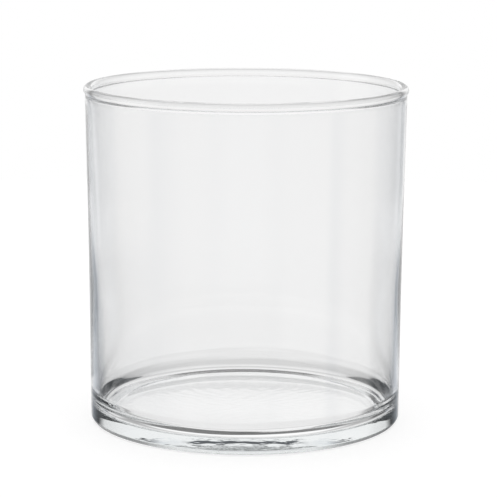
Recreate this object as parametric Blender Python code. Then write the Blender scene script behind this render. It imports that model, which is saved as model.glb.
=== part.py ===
"""Glass cylinder vase, one machine-made piece of clear soda-lime glass.

The vase is a solid of revolution about +Z, standing on z = 0 with its origin at the
centre of the footprint.  Its half-section is computed below from a few driving
dimensions and turned a full circle by a Screw modifier:

    rim bead     fire-polished round lip, a little proud of the wall inside and out
    wall         draws in slightly towards the foot, thin at the rim, thick at the foot
    corner       inside corner between wall and floor, its bend eased at both ends
    floor        flat inside bottom
    heel         small outside radius at the foot
    bearing ring flat annulus that the vase stands on
    push-up      very shallow hollow under the floor, inside the bearing ring

All lengths are in metres.
"""

import math

import bpy

# ---------------------------------------------------------------- driving dimensions
HEIGHT = 0.1270            # foot to the top of the rim bead (nominal 5 in)
WALL_R_TOP = 0.06015       # outside radius of the wall, run on to the top
WALL_R_FOOT = 0.0587       # outside radius of the wall, run on to the foot
WAIST = 0.0003             # how far the wall curves in at mid height

BEAD_R = 0.0016            # radius of the rim bead's section
BEAD_PROUD = 0.00055       # bead stands this far outside the wall
NECK_OUT = 0.0007          # blend radius, wall into bead, outside
NECK_IN = 0.0014           # blend radius, wall into bead, inside

WALL_T_RIM = 0.00080       # wall thickness at the rim
WALL_T_GROW = 0.0011       # steady thickening from rim to foot
SWELL_T = 0.0009           # further thickening of the lower wall ...
SWELL_Z = 0.052            # ... centred at this height ...
SWELL_H = 0.008            # ... and spread over about four times this length

FLOOR_Z = 0.0045           # height of the inside floor
CORNER_R = 0.0090          # reach of the inside corner, along the floor and up the wall
CORNER_EASE = 0.5          # 0 is a plain arc, 1 starts and ends with no curvature
HEEL_R = 0.0022            # outside radius, wall into bearing ring
RING_R_IN = 0.0500         # inner edge of the flat bearing ring
PUSH_UP = 0.00015          # rise of the underside at the axis

SEGMENTS = 72              # facets round the axis
WALL_ROWS = 10             # rows up each face of the wall
BEAD_STEP = math.radians(22.5)


# ---------------------------------------------------------------- section functions
def outer_radius(z):
    """Outside radius of the wall at height z."""
    s = z / HEIGHT
    straight = WALL_R_FOOT + (WALL_R_TOP - WALL_R_FOOT) * s
    return straight - WAIST * math.sin(math.pi * s)


def wall_thickness(z):
    """Wall thickness at height z."""
    return (WALL_T_RIM + WALL_T_GROW * (1.0 - z / HEIGHT)
            + SWELL_T / (1.0 + math.exp((z - SWELL_Z) / SWELL_H)))


def inner_radius(z):
    """Inside radius of the wall at height z."""
    return outer_radius(z) - wall_thickness(z)


def arc(cx, cz, r, a0, a1, step):
    """Points on a circle in the section plane, from angle a0 to a1."""
    n = max(2, int(math.ceil(abs(a1 - a0) / step)))
    out = []
    for i in range(n + 1):
        a = a0 + (a1 - a0) * i / n
        out.append((cx + r * math.cos(a), cz + r * math.sin(a)))
    return out


def corner(cx, cz, reach, n):
    """Quarter turn from the floor at (cx, cz) up into the wall, inside a square of the
    given reach. Its direction is integrated along the curve."""
    x, z, steps = 0.0, 0.0, 40 * n
    path = [(0.0, 0.0)]
    for i in range(steps):
        s = (i + 0.5) / steps
        a = 0.5 * math.pi * ((1.0 - CORNER_EASE) * s + CORNER_EASE * s * s * (3.0 - 2.0 * s))
        x += math.cos(a)
        z += math.sin(a)
        path.append((x, z))
    return [(cx + reach * path[40 * i][0] / x, cz + reach * path[40 * i][1] / z)
            for i in range(n + 1)]


def neck(bead_x, bead_z, wall_x, blend, side):
    """Blend circle between the bead and a wall at wall_x; side +1 outside, -1 inside.

    Returns its centre, its tangent height on the wall and the bead angle it touches at.
    """
    dx = (wall_x + side * blend) - bead_x
    dz = math.sqrt((BEAD_R + blend) ** 2 - dx ** 2)
    centre = (wall_x + side * blend, bead_z - dz)
    return centre, bead_z - dz, math.atan2(-dz, dx)


def half_section():
    """Half-section from the floor's centre, up the inside, over the bead, down the
    outside and back to the axis underneath."""
    bead_z = HEIGHT - BEAD_R
    bead_x = outer_radius(bead_z) + BEAD_PROUD - BEAD_R
    wall_out = outer_radius(bead_z - 2.0 * BEAD_R)
    wall_in = inner_radius(bead_z - 2.0 * BEAD_R)
    (ox, oz), out_z, out_a = neck(bead_x, bead_z, wall_out, NECK_OUT, 1.0)
    (ix, iz), in_z, in_a = neck(bead_x, bead_z, wall_in, NECK_IN, -1.0)
    pts = []

    # inside floor, flat, from the axis to the corner
    z0 = FLOOR_Z + CORNER_R
    flat_r = inner_radius(z0) - CORNER_R
    for i in range(4):
        pts.append((flat_r * i / 4.0, FLOOR_Z))
    pts += corner(flat_r, FLOOR_Z, CORNER_R, 9)
    # inside wall, up to the blend under the bead
    for i in range(1, WALL_ROWS):
        z = z0 + (in_z - z0) * i / WALL_ROWS
        pts.append((inner_radius(z), z))
    # inside blend, bead, outside blend
    pts += arc(ix, iz, NECK_IN, 0.0, in_a + math.pi, BEAD_STEP)
    start = in_a if in_a > 0 else in_a + 2.0 * math.pi
    pts += arc(bead_x, bead_z, BEAD_R, start, out_a, BEAD_STEP)[1:]
    pts += arc(ox, oz, NECK_OUT, out_a + math.pi, math.pi, BEAD_STEP)[1:]
    # outside wall, down to the heel
    for i in range(1, WALL_ROWS):
        z = out_z + (HEEL_R - out_z) * i / WALL_ROWS
        pts.append((outer_radius(z), z))
    # heel
    foot = outer_radius(HEEL_R)
    pts += arc(foot - HEEL_R, HEEL_R, HEEL_R, 0.0, math.radians(-90.0), math.radians(22.5))
    # bearing ring, then the push-up
    rows = 5
    for i in range(rows + 1):
        s = 1.0 - i / rows
        pts.append((RING_R_IN * s, PUSH_UP * (1.0 - s * s) ** 2))
    return pts


# ---------------------------------------------------------------- building
def clear_scene():
    for obj in list(bpy.data.objects):
        bpy.data.objects.remove(obj, do_unlink=True)


def glass_material():
    mat = bpy.data.materials.new("clear_glass")
    mat.use_nodes = True
    bsdf = mat.node_tree.nodes["Principled BSDF"]
    bsdf.inputs["Base Color"].default_value = (0.94, 0.98, 0.97, 1.0)
    bsdf.inputs["Metallic"].default_value = 0.0
    bsdf.inputs["Roughness"].default_value = 0.02
    bsdf.inputs["IOR"].default_value = 1.51
    bsdf.inputs["Transmission Weight"].default_value = 1.0
    return mat


def turned(name, section, segments, material):
    """One closed solid: the half-section turned a full circle about +Z."""
    mesh = bpy.data.meshes.new(name)
    verts = [(x, 0.0, z) for x, z in section]
    edges = [(i, i + 1) for i in range(len(verts) - 1)]
    mesh.from_pydata(verts, edges, [])
    mesh.materials.append(material)
    obj = bpy.data.objects.new(name, mesh)
    bpy.context.scene.collection.objects.link(obj)
    screw = obj.modifiers.new("turn", "SCREW")
    screw.axis = "Z"
    screw.angle = 2.0 * math.pi
    screw.steps = segments
    screw.render_steps = segments
    screw.use_merge_vertices = True
    screw.merge_threshold = 0.00001
    screw.use_smooth_shade = True
    return obj


clear_scene()
turned("glass_vase", half_section(), SEGMENTS, glass_material())
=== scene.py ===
"""Studio scene of a clear glass cylinder vase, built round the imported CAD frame."""

import math
import bpy
import numpy as np
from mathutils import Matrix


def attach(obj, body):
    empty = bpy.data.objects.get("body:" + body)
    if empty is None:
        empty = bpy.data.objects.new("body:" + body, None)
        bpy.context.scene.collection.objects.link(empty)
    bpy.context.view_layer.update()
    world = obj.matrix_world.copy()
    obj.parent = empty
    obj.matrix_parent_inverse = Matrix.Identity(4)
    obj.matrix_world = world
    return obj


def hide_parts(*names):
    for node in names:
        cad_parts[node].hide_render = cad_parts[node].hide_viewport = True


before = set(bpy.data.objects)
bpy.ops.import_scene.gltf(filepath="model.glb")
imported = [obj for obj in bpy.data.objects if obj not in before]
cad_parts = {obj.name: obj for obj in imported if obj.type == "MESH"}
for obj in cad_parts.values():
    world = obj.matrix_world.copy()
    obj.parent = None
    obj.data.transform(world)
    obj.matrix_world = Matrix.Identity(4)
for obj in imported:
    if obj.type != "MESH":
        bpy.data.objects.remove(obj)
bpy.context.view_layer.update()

# ---------------------------------------------------------------- dimensions, metres
# The half-section is the one the CAD solid was turned from, sampled much finer.
HEIGHT = 0.1270
WALL_R_TOP = 0.06015
WALL_R_FOOT = 0.0587
WAIST = 0.0003
BEAD_R = 0.0016
BEAD_PROUD = 0.00055
NECK_OUT = 0.0007
NECK_IN = 0.0014
WALL_T_RIM = 0.00080
WALL_T_GROW = 0.0011
SWELL_T = 0.0009
SWELL_Z = 0.052
SWELL_H = 0.008
FLOOR_Z = 0.0045
FILLET_R = 0.0090
FILLET_EASE = 0.5
FILLET_LEAN = 0.0
HEEL_R = 0.0022
RING_R_IN = 0.0500
PUSH_UP = 0.00015

SEGMENTS = 320


def outer_radius(z):
    s = z / HEIGHT
    straight = WALL_R_FOOT + (WALL_R_TOP - WALL_R_FOOT) * s
    return straight - WAIST * math.sin(math.pi * s)


def wall_thickness(z):
    """Thin at the rim, thicker downwards, with a swelling below mid height."""
    return (WALL_T_RIM + WALL_T_GROW * (1.0 - z / HEIGHT)
            + SWELL_T / (1.0 + math.exp((z - SWELL_Z) / SWELL_H)))


def inner_radius(z):
    return outer_radius(z) - wall_thickness(z)


def arc(cx, cz, r, a0, a1, n):
    return [(cx + r * math.cos(a0 + (a1 - a0) * i / n),
             cz + r * math.sin(a0 + (a1 - a0) * i / n)) for i in range(n + 1)]


def corner(cx, cz, r, n):
    """Quarter turn from the floor up into the wall, inside an r by r square. The bend
    comes in gradually at both ends, by FILLET_EASE, and is tighter at the floor end, by
    FILLET_LEAN."""
    x, z, steps = 0.0, 0.0, 40 * n
    path = [(0.0, 0.0)]
    for i in range(steps):
        s = (i + 0.5) / steps
        a = 0.5 * math.pi * ((1.0 - FILLET_EASE - FILLET_LEAN) * s
                             + FILLET_EASE * s * s * (3.0 - 2.0 * s)
                             + FILLET_LEAN * s * (2.0 - s))
        x += math.cos(a)
        z += math.sin(a)
        path.append((x, z))
    return [(cx + r * path[40 * i][0] / x, cz + r * path[40 * i][1] / z) for i in range(n + 1)]


def neck(bead_x, bead_z, wall_x, blend, side):
    dx = (wall_x + side * blend) - bead_x
    dz = math.sqrt((BEAD_R + blend) ** 2 - dx ** 2)
    return (wall_x + side * blend, bead_z - dz), bead_z - dz, math.atan2(-dz, dx)


def half_section():
    """(x, z, region) from the floor's centre, up the inside, over the bead, down the
    outside and back to the axis underneath."""
    bead_z = HEIGHT - BEAD_R
    bead_x = outer_radius(bead_z) + BEAD_PROUD - BEAD_R
    wall_out = outer_radius(bead_z - 2.0 * BEAD_R)
    wall_in = inner_radius(bead_z - 2.0 * BEAD_R)
    (ox, oz), out_z, out_a = neck(bead_x, bead_z, wall_out, NECK_OUT, 1.0)
    (ix, iz), in_z, in_a = neck(bead_x, bead_z, wall_in, NECK_IN, -1.0)
    pts = []

    def add(points, region):
        for x, z in points:
            if pts and abs(pts[-1][0] - x) + abs(pts[-1][1] - z) < 1e-7:
                continue
            pts.append((x, z, region))

    wall_low = inner_radius(FLOOR_Z + FILLET_R)
    flat_r = wall_low - FILLET_R
    add([(flat_r * i / 24.0, FLOOR_Z) for i in range(25)], "floor")
    add(corner(flat_r, FLOOR_Z, FILLET_R, 36), "fillet")
    z0 = FLOOR_Z + FILLET_R
    add([(inner_radius(z0 + (in_z - z0) * i / 44.0), z0 + (in_z - z0) * i / 44.0)
         for i in range(1, 44)], "wall_in")
    add(arc(ix, iz, NECK_IN, 0.0, in_a + math.pi, 10), "bead")
    start = in_a if in_a > 0 else in_a + 2.0 * math.pi
    add(arc(bead_x, bead_z, BEAD_R, start, out_a, 40), "bead")
    add(arc(ox, oz, NECK_OUT, out_a + math.pi, math.pi, 8), "bead")
    add([(outer_radius(out_z + (HEEL_R - out_z) * i / 44.0),
          out_z + (HEEL_R - out_z) * i / 44.0) for i in range(1, 44)], "wall_out")
    foot = outer_radius(HEEL_R)
    add(arc(foot - HEEL_R, HEEL_R, HEEL_R, 0.0, math.radians(-90), 22), "heel")
    rows = 8
    flat = foot - HEEL_R
    add([(flat + (RING_R_IN - flat) * i / rows, 0.0) for i in range(1, rows + 1)], "ring")
    rows = 30
    add([(RING_R_IN * (1 - i / rows), PUSH_UP * (1.0 - (1 - i / rows) ** 2) ** 2)
         for i in range(1, rows + 1)], "under")
    return pts


def turned(name, section, segments):
    """Closed surface of revolution; single vertices where the section meets the axis."""
    theta = np.arange(segments) * (2.0 * math.pi / segments)
    cos, sin = np.cos(theta), np.sin(theta)
    verts, rows = [], []
    for x, z, region in section:
        if x < 1e-9:
            rows.append([len(verts)])
            verts.append((0.0, 0.0, z))
            continue
        r, h = ripple(theta, x, z, region)
        rows.append(list(range(len(verts), len(verts) + segments)))
        verts += list(zip((r * cos).tolist(), (r * sin).tolist(), h.tolist()))
    faces = []
    for a, b in zip(rows[:-1], rows[1:]):
        for j in range(segments):
            k = (j + 1) % segments
            if len(a) == 1:
                faces.append((a[0], b[j], b[k]))
            elif len(b) == 1:
                faces.append((a[j], b[0], a[k]))
            else:
                faces.append((a[j], b[j], b[k], a[k]))
    mesh = bpy.data.meshes.new(name)
    mesh.from_pydata(verts, [], faces)
    mesh.validate()
    mesh.shade_smooth()
    obj = bpy.data.objects.new(name, mesh)
    bpy.context.scene.collection.objects.link(obj)
    return obj


def ripple(theta, x, z, region):
    """(radius, height) round one ring. The inside was formed a little off centre, so the
    wall is thicker on one side than on the other."""
    r = np.full_like(theta, x)
    h = np.full_like(theta, z)
    if region in ("floor", "fillet", "wall_in"):
        fade = min(1.0, max(0.0, (HEIGHT - 0.008 - z) / 0.030)) * min(1.0, (x / 0.045) ** 2)
        r = r + OFF_CENTRE * fade * np.cos(theta)
    if region in ("fillet", "wall_in"):
        drift = 1.3 * np.sin(3.0 * theta + 0.4) + 0.8 * np.sin(7.0 * theta + 1.1)
        depth = RIPPLE * math.exp(-((z - 0.011) / 0.012) ** 2)
        r = r + depth * np.sin(2.0 * math.pi * z / 0.0023 + drift)
    if region == "under":
        h = h + UNDER_RIPPLE * np.sin(x * np.cos(theta) / 0.0011 + 1.5 * np.sin(x * np.sin(theta) / 0.0023)) \
            * np.sin(x * np.sin(theta) / 0.0009) * min(1.0, (RING_R_IN - x) / 0.01)
    return r, h


RIPPLE = 0.000025
UNDER_RIPPLE = 0.000005
OFF_CENTRE = 0.00027


# ---------------------------------------------------------------- material
GLASS_TINT = (0.90, 0.97, 0.98, 1.0)
SKIN_STRENGTH = 0.06


def clear_glass():
    mat = bpy.data.materials.new("clear_glass")
    mat.use_nodes = True
    nt = mat.node_tree
    bsdf = nt.nodes["Principled BSDF"]
    out = nt.nodes["Material Output"]
    bsdf.inputs["Base Color"].default_value = (1.0, 1.0, 1.0, 1.0)
    bsdf.inputs["IOR"].default_value = 1.51
    bsdf.inputs["Transmission Weight"].default_value = 1.0
    vol = nt.nodes.new("ShaderNodeVolumeAbsorption")
    vol.inputs["Color"].default_value = GLASS_TINT
    vol.inputs["Density"].default_value = 3.0
    nt.links.new(vol.outputs[0], out.inputs["Volume"])

    # Fire-polished skin: faint upright drawing marks, and a trace of haze that comes and
    # goes in patches.
    coord = nt.nodes.new("ShaderNodeTexCoord")

    def noise(scale, stretch, detail):
        place = nt.nodes.new("ShaderNodeMapping")
        place.inputs["Scale"].default_value = stretch
        tex = nt.nodes.new("ShaderNodeTexNoise")
        tex.inputs["Scale"].default_value = scale
        tex.inputs["Detail"].default_value = detail
        nt.links.new(coord.outputs["Object"], place.inputs["Vector"])
        nt.links.new(place.outputs["Vector"], tex.inputs["Vector"])
        return tex.outputs["Fac"]

    haze = nt.nodes.new("ShaderNodeMapRange")
    haze.inputs["From Min"].default_value = 0.45
    haze.inputs["From Max"].default_value = 0.80
    haze.inputs["To Min"].default_value = 0.0
    haze.inputs["To Max"].default_value = 0.012
    nt.links.new(noise(70.0, (1.0, 1.0, 0.6), 3.0), haze.inputs["Value"])
    nt.links.new(haze.outputs["Result"], bsdf.inputs["Roughness"])
    skin = nt.nodes.new("ShaderNodeBump")
    skin.inputs["Strength"].default_value = SKIN_STRENGTH
    skin.inputs["Distance"].default_value = 0.0001
    nt.links.new(noise(260.0, (1.0, 1.0, 0.12), 2.0), skin.inputs["Height"])
    nt.links.new(skin.outputs["Normal"], bsdf.inputs["Normal"])
    return mat


vase = turned("vase_glass", half_section(), SEGMENTS)
vase.data.materials.append(clear_glass())
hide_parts("glass_vase")
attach(vase, "root")


# ---------------------------------------------------------------- floor
def floor_disc(radius):
    bpy.ops.mesh.primitive_circle_add(vertices=128, radius=radius, fill_type="NGON",
                                      location=(0, 0, -0.0001))
    obj = bpy.context.object
    obj.name = "studio_floor"
    mat = bpy.data.materials.new("studio_floor")
    mat.use_nodes = True
    bsdf = mat.node_tree.nodes["Principled BSDF"]
    bsdf.inputs["Base Color"].default_value = (0.50, 0.50, 0.50, 1.0)
    bsdf.inputs["Roughness"].default_value = 0.9
    bsdf.inputs["Specular IOR Level"].default_value = 0.0
    bsdf.inputs["Emission Color"].default_value = (1.0, 1.0, 1.0, 1.0)
    bsdf.inputs["Emission Strength"].default_value = FLOOR_GLOW
    obj.data.materials.append(mat)
    obj.visible_transmission = False
    obj.visible_glossy = False
    return obj


FLOOR_GLOW = 0.72
floor = floor_disc(0.60)


# ---------------------------------------------------------------- light by direction
# Brightness of the studio by direction, as rows of (elevation, [(turn, level), ...], cool);
# turn runs in degrees from +Y towards +X. White cards stand behind the vase for each of
# the usual viewing angles, and the room between them is dim, a little blue at eye level.
def mirrored(stops):
    """Both sides alike, from the half that runs 0..180 degrees."""
    return [(-d, v) for d, v in reversed(stops) if d > 0] + list(stops)


def with_card(stops, centre, half, value, soft=10.0):
    """Stand one more white card at the given turn."""
    lo, hi = centre - half, centre + half
    kept = [(d, v) for d, v in stops if d < lo - soft or d > hi + soft]
    return sorted(kept + [(lo - soft, at(stops, lo - soft)), (lo, value), (hi, value),
                          (hi + soft, at(stops, hi + soft))])


def at(stops, d):
    for (d0, v0), (d1, v1) in zip(stops[:-1], stops[1:]):
        if d0 <= d <= d1:
            return v0 + (v1 - v0) * (d - d0) / max(1e-6, d1 - d0)
    return stops[-1][1]


UNDER = mirrored([(0, 1.0), (48, 1.0), (60, 0.20), (180, 0.12)])
TABLE = mirrored([(0, 0.67), (12, 0.65), (22, 0.50), (60, 0.40), (180, 0.40)])
DIM = with_card(mirrored([(0, 0.86), (12, 0.86), (18, 0.65), (24, 0.30), (32, 0.12), (60, 0.08), (90, 0.40),
                (180, 0.40)]), 135, 14, 0.92)
DEEP = DIM = with_card(with_card(DIM, -45, 11, 0.88), 90, 11, 0.88)
LOWER = with_card(mirrored([(0, 0.93), (14, 0.93), (18, 0.74), (24, 0.50), (32, 0.28), (40, 0.07),
                            (64, 0.06), (80, 0.30), (110, 0.38), (138, 0.88), (150, 0.88),
                            (158, 0.80), (166, 0.88), (180, 0.88)]), 135, 14, 0.93, 6)
LOWER = with_card(LOWER, 90, 12, 0.88)
WALL = with_card(with_card(mirrored([(0, 0.95), (14, 0.94), (18, 0.89), (23, 0.82), (30, 0.79),
                                     (62, 0.74), (110, 0.50), (136, 0.92), (150, 0.92), (158, 0.80),
                                     (166, 0.88), (180, 0.88)]), 135, 14, 0.92, 6), -90, 12, 0.92)
WALL = with_card(WALL, 90, 12, 0.90)
LEVEL = with_card(mirrored([(0, 0.95), (17, 0.95), (30, 0.30), (110, 0.40), (180, 0.40)]),
                  -90, 12, 0.95)
UPPER = mirrored([(0, 0.95), (18, 0.92), (30, 0.20), (110, 0.40), (150, 0.30), (180, 0.15)])
HIGH = mirrored([(0, 0.95), (18, 0.90), (30, 0.30), (48, 0.30), (62, 0.60), (100, 0.60), (180, 0.50)])
OVER = mirrored([(0, 1.0), (60, 0.90), (180, 0.85)])
TOP = mirrored([(0, 1.0), (60, 0.85), (120, 0.35), (150, 0.20), (180, 0.20)])
STUDIO = [(-90, UNDER, 0), (-50, UNDER, 0), (-42, TABLE, 0), (-34, TABLE, 0), (-28, DEEP, 0),
          (-24, DEEP, 0), (-22, DIM, 1), (-19, DIM, 1), (-17, LOWER, 1), (-15, LOWER, 1),
          (-12, WALL, 1), (-6, WALL, 1), (-4, LEVEL, 0), (8, LEVEL, 0), (18, UPPER, 0),
          (27, UPPER, 0), (31, HIGH, 0), (42, HIGH, 0), (50, OVER, 0), (90, OVER, 0)]

# What light that has been led through the thick base finds: bright above and below eye
# level, dark across it.
BELOW = mirrored([(0, 0.93), (28, 0.93), (44, 0.70), (58, 0.05), (150, 0.03), (180, 0.10)])
BRIGHT = mirrored([(0, 0.93), (56, 0.93), (64, 0.06), (120, 0.05), (180, 0.10)])
DARK = mirrored([(0, 0.08), (12.5, 0.10), (14.5, 0.88), (21, 0.80), (28, 0.02), (150, 0.03),
                 (180, 0.15)])
EDGE = mirrored([(0, 0.90), (22, 0.85), (29, 0.02), (150, 0.03), (180, 0.15)])
ROOM = mirrored([(0, 0.85), (18, 0.75), (28, 0.03), (120, 0.04), (180, 0.08)])
CEILING = mirrored([(0, 0.85), (30, 0.80), (100, 0.75), (120, 0.12), (180, 0.08)])
THROUGH_BASE = [(-90, UNDER, 0), (-50, UNDER, 0), (-42, TABLE, 0), (-34, TABLE, 0), (-28, BELOW, 1),
                (-13, BELOW, 1), (-10.5, DARK, 1), (1, DARK, 1), (2.5, EDGE, 1), (9, EDGE, 1),
                (11.5, BRIGHT, 0), (17.5, BRIGHT, 0), (20, ROOM, 0), (27, ROOM, 0),
                (30, CEILING, 0), (44, CEILING, 0), (50, TOP, 0), (90, TOP, 0)]
LED_DEPTH = 5.5             # glass surfaces met by light that counts as led by the base
COOL = (0.43, 0.468, 0.52)


def studio_world():
    world = bpy.data.worlds.new("studio")
    bpy.context.scene.world = world
    world.use_nodes = True
    nt = world.node_tree
    nt.nodes.clear()
    L = nt.links.new

    def node(kind, **kw):
        n = nt.nodes.new(kind)
        for k, v in kw.items():
            setattr(n, k, v)
        return n

    def math_node(op, a, b=None, clamp=False):
        n = node("ShaderNodeMath", operation=op, use_clamp=clamp)
        for i, v in enumerate((a, b)):
            if v is None:
                continue
            if isinstance(v, (int, float)):
                n.inputs[i].default_value = v
            else:
                L(v, n.inputs[i])
        return n.outputs[0]

    def ramp(x, stops):
        n = node("ShaderNodeValToRGB")
        n.color_ramp.interpolation = "LINEAR"
        els = n.color_ramp.elements
        while len(els) > 1:
            els.remove(els[-1])
        els[0].position = stops[0][0]
        els[0].color = (*stops[0][1], 1.0)
        for p, c in stops[1:]:
            e = els.new(p)
            e.color = (*c, 1.0)
        L(x, n.inputs[0])
        return n.outputs[0]

    def tint(v, cool):
        """Dim levels at eye height lean to blue, bright ones are white."""
        k = cool * max(0.0, min(1.0, (0.90 - v) / 0.40))
        m = sum(COOL) / 3.0
        return tuple(v * (1.0 + k * (c / m - 1.0)) for c in COOL)

    def cards(stops, cool):
        return ramp(turn, [((d + 180.0) / 360.0, tint(v, cool)) for d, v in stops])

    def level(stops):
        return ramp(rise, [((d + 90.0) / 180.0, (v, v, v)) for d, v in stops])

    def blend(f, a, b):
        m = node("ShaderNodeMix", data_type="RGBA")
        L(f, m.inputs[0])
        for v, s in ((a, m.inputs[6]), (b, m.inputs[7])):
            if isinstance(v, tuple):
                s.default_value = (*v, 1.0)
            else:
                L(v, s)
        return m.outputs[2]

    tc = node("ShaderNodeTexCoord")
    sep = node("ShaderNodeSeparateXYZ")
    L(tc.outputs["Generated"], sep.inputs[0])
    # turn: -180..180 degrees round from +Y towards +X, as 0..1; rise: -90..90 degrees, as 0..1
    turn = math_node("ARCTAN2", sep.outputs[0], sep.outputs[1])
    turn = math_node("ADD", math_node("DIVIDE", turn, 2.0 * math.pi), 0.5)
    rise = math_node("ADD", math_node("DIVIDE", math_node("ARCSINE", sep.outputs[2]), math.pi), 0.5)

    def sky(rows):
        out = cards(*rows[0][1:])
        for (low, under, _), (high, over, cool) in zip(rows[:-1], rows[1:]):
            if over is not under:
                out = blend(level([(low, 0.0), (high, 1.0)]), out, cards(over, cool))
        return out

    lp = node("ShaderNodeLightPath")
    bg = node("ShaderNodeBackground")
    led = math_node("GREATER_THAN", lp.outputs["Ray Depth"], LED_DEPTH)
    lit = blend(led, sky(STUDIO), sky(THROUGH_BASE))
    L(blend(lp.outputs["Is Camera Ray"], lit, (1.0, 1.0, 1.0)), bg.inputs[0])
    out = node("ShaderNodeOutputWorld")
    L(bg.outputs[0], out.inputs[0])


studio_world()

# ---------------------------------------------------------------- camera
UNIT = WALL_R_TOP
cam_data = bpy.data.cameras.new("camera")
cam = bpy.data.objects.new("camera", cam_data)
bpy.context.scene.collection.objects.link(cam)
FOCAL_PX = 2265.0
PITCH = math.radians(10.54)
ROLL = math.radians(-0.233)
cam_data.sensor_width = 36.0
cam_data.lens = FOCAL_PX / 497.0 * 36.0
cam_data.shift_x = (248.5 - 245.55) / 497.0
cam_data.clip_start = 0.01
cam_data.clip_end = 50.0
cam.location = (0.0, -13.99 * UNIT, 3.68 * UNIT)
cam.rotation_mode = "XYZ"
cam.rotation_euler = (math.radians(90.0) - PITCH, 0.0, 0.0)
cam.rotation_euler.rotate_axis("Z", -ROLL)
bpy.context.scene.camera = cam

bpy.context.scene.cycles.max_bounces = 64
bpy.context.scene.cycles.transmission_bounces = 64
bpy.context.scene.cycles.glossy_bounces = 64
bpy.context.scene.view_settings.view_transform = "Standard"
bpy.context.scene.view_settings.look = "None"
